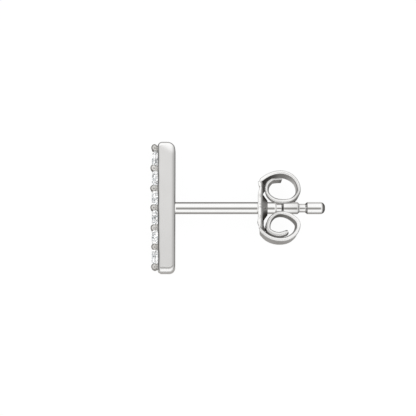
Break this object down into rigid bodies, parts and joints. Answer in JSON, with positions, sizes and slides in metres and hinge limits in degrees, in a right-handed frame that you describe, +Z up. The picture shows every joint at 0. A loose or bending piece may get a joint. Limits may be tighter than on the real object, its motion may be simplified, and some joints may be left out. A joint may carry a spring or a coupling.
{
  "type": "bar earring",
  "caption": "Bar stud earring with a row of round stones held by small prongs, on a grooved post with a butterfly clutch that slides off, lying on its side.",
  "frame": {"origin": "middle of the footprint, on the surface that the earring lies on", "axes": "+Z up; the bar lies along Y; the post runs towards +X and rises by 7.7 degrees to its free end; the stones face -X"},
  "size_m": [0.0116, 0.0088, 0.0033],
  "materials": {
    "silver": "polished white metal",
    "clutch_silver": "polished sheet metal with tumbled edges",
    "stone": "cut and polished clear stone"
  },
  "bodies": {
    "earring": {"setting": "silver", "stone_1": "stone", "stone_2": "stone", "stone_3": "stone", "stone_4": "stone", "stone_5": "stone", "stone_6": "stone"},
    "clutch_back": {"clutch": "clutch_silver"}
  },
  "joints": [
    {"name": "clutch_slide", "type": "slide", "parent": "earring", "child": "clutch_back", "axis": [0.991, 0, 0.1337], "range_m": [-0.0054, 0.005]}
  ]
}
